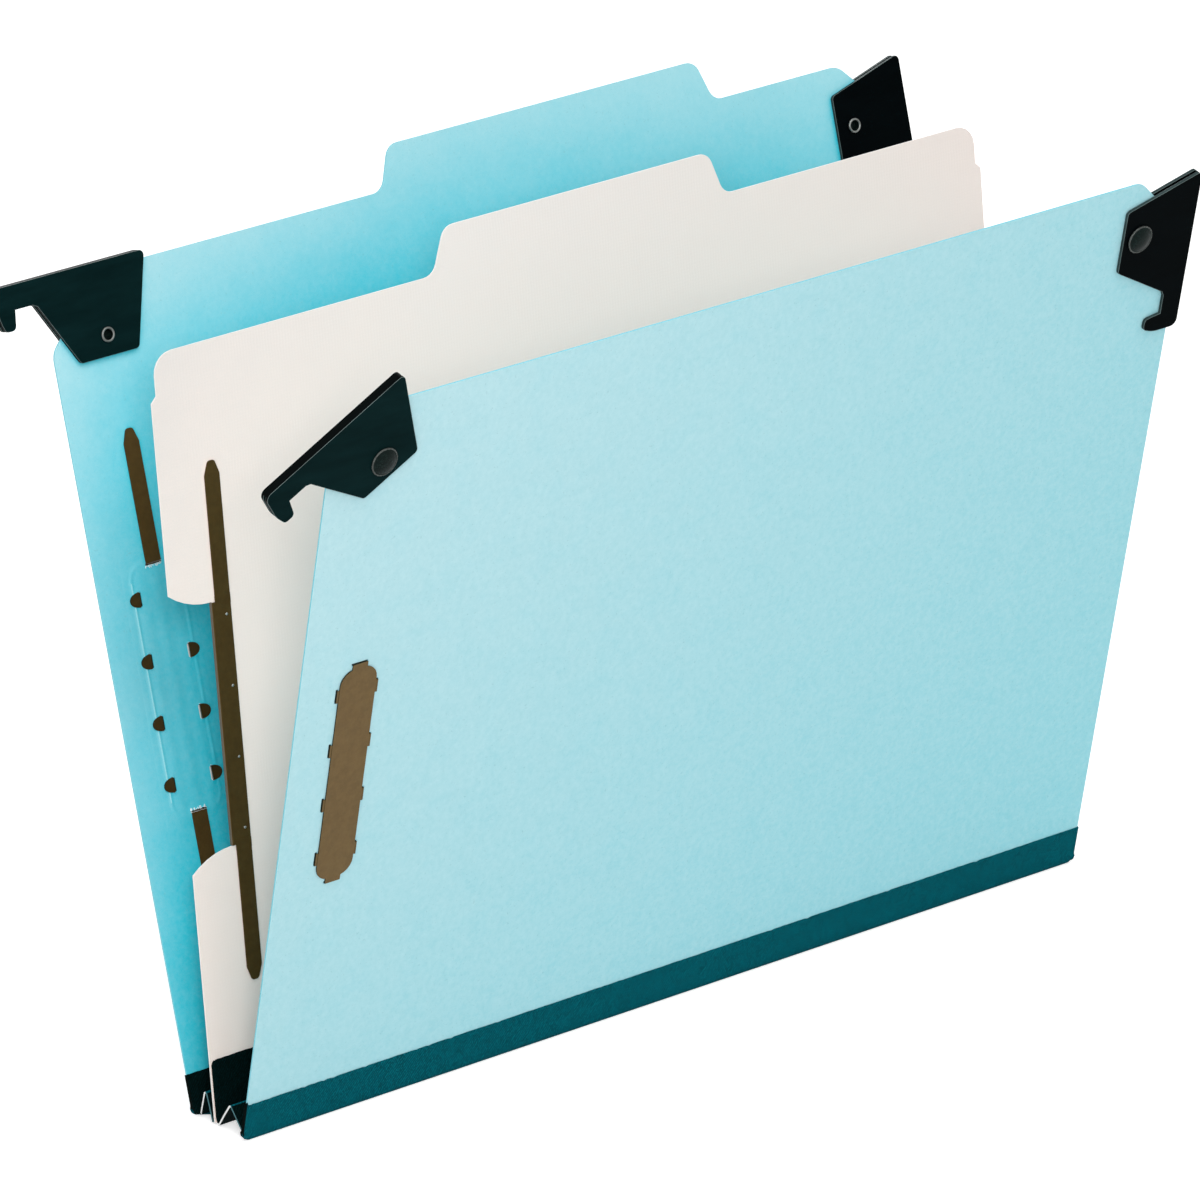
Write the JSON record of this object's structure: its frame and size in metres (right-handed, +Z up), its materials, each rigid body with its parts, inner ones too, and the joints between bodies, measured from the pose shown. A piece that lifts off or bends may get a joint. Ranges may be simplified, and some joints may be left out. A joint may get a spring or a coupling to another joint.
{
  "type": "hanging classification folder",
  "caption": "Standing pressboard folder with a tabbed divider, a pleated tape gusset, prong fasteners and swivelling hanger hooks at its top corners.",
  "frame": {"origin": "on the floor, under the middle of the divider's foot fold, halfway across the covers' width", "axes": "+X along the folds, to the right seen from the front; +Y from the front cover to the back cover; +Z up"},
  "size_m": [0.3212, 0.1388, 0.2401],
  "materials": {
    "pressboard": "matte mottled pressboard",
    "paper": "matte heavy paper",
    "tape": "fine woven tape, low sheen",
    "nylon": "satin moulded nylon",
    "rivet_steel": "blackened, glossy",
    "fastener_steel": "bronze lacquered sheet steel"
  },
  "bodies": {
    "divider": {"divider_sheet": "paper", "divider_tape": "tape", "divider_fastener_channel": "fastener_steel"},
    "front_pleat_inner": {"front_pleat_inner": "tape"},
    "front_pleat_outer": {"front_pleat_outer": "tape"},
    "front_foot_fold": {"front_foot_fold": "tape"},
    "front_cover": {"front_cover_board": "pressboard", "front_cover_tape": "tape", "front_fastener_base": "fastener_steel", "front_left_rivet": "rivet_steel", "front_right_rivet": "rivet_steel"},
    "rear_pleat_inner": {"rear_pleat_inner": "tape"},
    "rear_pleat_outer": {"rear_pleat_outer": "tape"},
    "rear_foot_fold": {"rear_foot_fold": "tape"},
    "back_cover": {"back_cover_board": "pressboard", "back_cover_tape": "tape", "back_fastener_base": "fastener_steel", "back_left_rivet": "rivet_steel", "back_right_rivet": "rivet_steel"},
    "front_left_hook": {"front_left_hook": "nylon"},
    "front_right_hook": {"front_right_hook": "nylon"},
    "back_left_hook": {"back_left_hook": "nylon"},
    "back_right_hook": {"back_right_hook": "nylon"},
    "front_cover_prong_upper": {"front_cover_prong_upper": "fastener_steel"},
    "front_cover_prong_lower": {"front_cover_prong_lower": "fastener_steel"},
    "back_cover_prong_upper": {"back_cover_prong_upper": "fastener_steel"},
    "back_cover_prong_lower": {"back_cover_prong_lower": "fastener_steel"},
    "divider_front_prong_upper": {"divider_front_prong_upper": "fastener_steel"},
    "divider_front_prong_lower": {"divider_front_prong_lower": "fastener_steel"},
    "divider_rear_prong_upper": {"divider_rear_prong_upper": "fastener_steel"},
    "divider_rear_prong_lower": {"divider_rear_prong_lower": "fastener_steel"}
  },
  "joints": [
    {"name": "front_gusset_spread", "type": "slide", "parent": "divider", "child": "front_foot_fold", "axis": [0, -1, 0], "range_m": [-0.007, 0.005]},
    {"name": "front_pleat_root", "type": "hinge", "parent": "divider", "child": "front_pleat_inner", "pos_m": [0, -0.00145, 0.00057], "axis": [1, 0, 0], "range_deg": [-26.6, 19.1]},
    {"name": "front_pleat_ridge", "type": "hinge", "parent": "front_pleat_inner", "child": "front_pleat_outer", "pos_m": [0, -0.00717, 0.0079], "axis": [1, 0, 0], "range_deg": [-38, 53.2]},
    {"name": "rear_gusset_spread", "type": "slide", "parent": "divider", "child": "rear_foot_fold", "axis": [0, 1, 0], "range_m": [-0.0022, 0.011]},
    {"name": "rear_pleat_root", "type": "hinge", "parent": "divider", "child": "rear_pleat_inner", "pos_m": [0, 0.00145, 0.00057], "axis": [-1, 0, 0], "range_deg": [-7.8, 38.4]},
    {"name": "rear_pleat_ridge", "type": "hinge", "parent": "rear_pleat_inner", "child": "rear_pleat_outer", "pos_m": [0, 0.00417, 0.00947], "axis": [-1, 0, 0], "range_deg": [-76.7, 15.4]},
    {"name": "front_cover_swing", "type": "hinge", "parent": "front_foot_fold", "child": "front_cover", "pos_m": [0, -0.0144, 0.00145], "axis": [1, 0, 0], "range_deg": [-18, 75]},
    {"name": "back_cover_swing", "type": "hinge", "parent": "rear_foot_fold", "child": "back_cover", "pos_m": [0, 0.0084, 0.00145], "axis": [1, 0, 0], "range_deg": [-76, 9.4]},
    {"name": "front_left_hook_swivel", "type": "hinge", "parent": "front_cover", "child": "front_left_hook", "pos_m": [-0.13165, -0.06731, 0.20752], "axis": [0, -0.9686, -0.2487], "range_deg": [-32.7, 57.3]},
    {"name": "front_right_hook_swivel", "type": "hinge", "parent": "front_cover", "child": "front_right_hook", "pos_m": [0.13165, -0.06731, 0.20752], "axis": [0, 0.9686, 0.2487], "range_deg": [-90, 0]},
    {"name": "back_left_hook_swivel", "type": "hinge", "parent": "back_cover", "child": "back_left_hook", "pos_m": [-0.13165, 0.05675, 0.21089], "axis": [0, -0.9744, 0.225], "range_deg": [0, 90]},
    {"name": "back_right_hook_swivel", "type": "hinge", "parent": "back_cover", "child": "back_right_hook", "pos_m": [0.13165, 0.05675, 0.21089], "axis": [0, 0.9744, -0.225], "range_deg": [-90, 0]},
    {"name": "front_cover_prong_upper_bend", "type": "hinge", "parent": "front_cover", "child": "front_cover_prong_upper", "pos_m": [-0.12975, -0.05074, 0.14528], "axis": [-1, 0, 0], "range_deg": [0, 90]},
    {"name": "front_cover_prong_lower_bend", "type": "hinge", "parent": "front_cover", "child": "front_cover_prong_lower", "pos_m": [-0.12975, -0.03338, 0.07767], "axis": [1, 0, 0], "range_deg": [0, 55]},
    {"name": "back_cover_prong_upper_bend", "type": "hinge", "parent": "back_cover", "child": "back_cover_prong_upper", "pos_m": [-0.12975, 0.04171, 0.14827], "axis": [-1, 0, 0], "range_deg": [-60, 0]},
    {"name": "back_cover_prong_lower_bend", "type": "hinge", "parent": "back_cover", "child": "back_cover_prong_lower", "pos_m": [-0.12975, 0.026, 0.08026], "axis": [1, 0, 0], "range_deg": [-20, 0]},
    {"name": "divider_front_prong_upper_bend", "type": "hinge", "parent": "divider", "child": "divider_front_prong_upper", "pos_m": [-0.1307, 0.00871, 0.14684], "axis": [1, 0, 0], "range_deg": [0, 90]},
    {"name": "divider_front_prong_lower_bend", "type": "hinge", "parent": "divider", "child": "divider_front_prong_lower", "pos_m": [-0.1307, 0.00433, 0.07718], "axis": [-1, 0, 0], "range_deg": [0, 45]},
    {"name": "divider_rear_prong_upper_bend", "type": "hinge", "parent": "divider", "child": "divider_rear_prong_upper", "pos_m": [-0.1307, 0.00976, 0.14678], "axis": [1, 0, 0], "range_deg": [-55, 0]},
    {"name": "divider_rear_prong_lower_bend", "type": "hinge", "parent": "divider", "child": "divider_rear_prong_lower", "pos_m": [-0.1307, 0.00538, 0.07712], "axis": [-1, 0, 0], "range_deg": [-15, 0]}
  ],
  "couplings": [
    {"joint": "front_pleat_root", "follows": "front_gusset_spread", "rad_per_m": 66.175},
    {"joint": "front_pleat_ridge", "follows": "front_gusset_spread", "rad_per_m": -132.35},
    {"joint": "rear_pleat_root", "follows": "rear_gusset_spread", "rad_per_m": 60.73},
    {"joint": "rear_pleat_ridge", "follows": "rear_gusset_spread", "rad_per_m": -121.46}
  ]
}
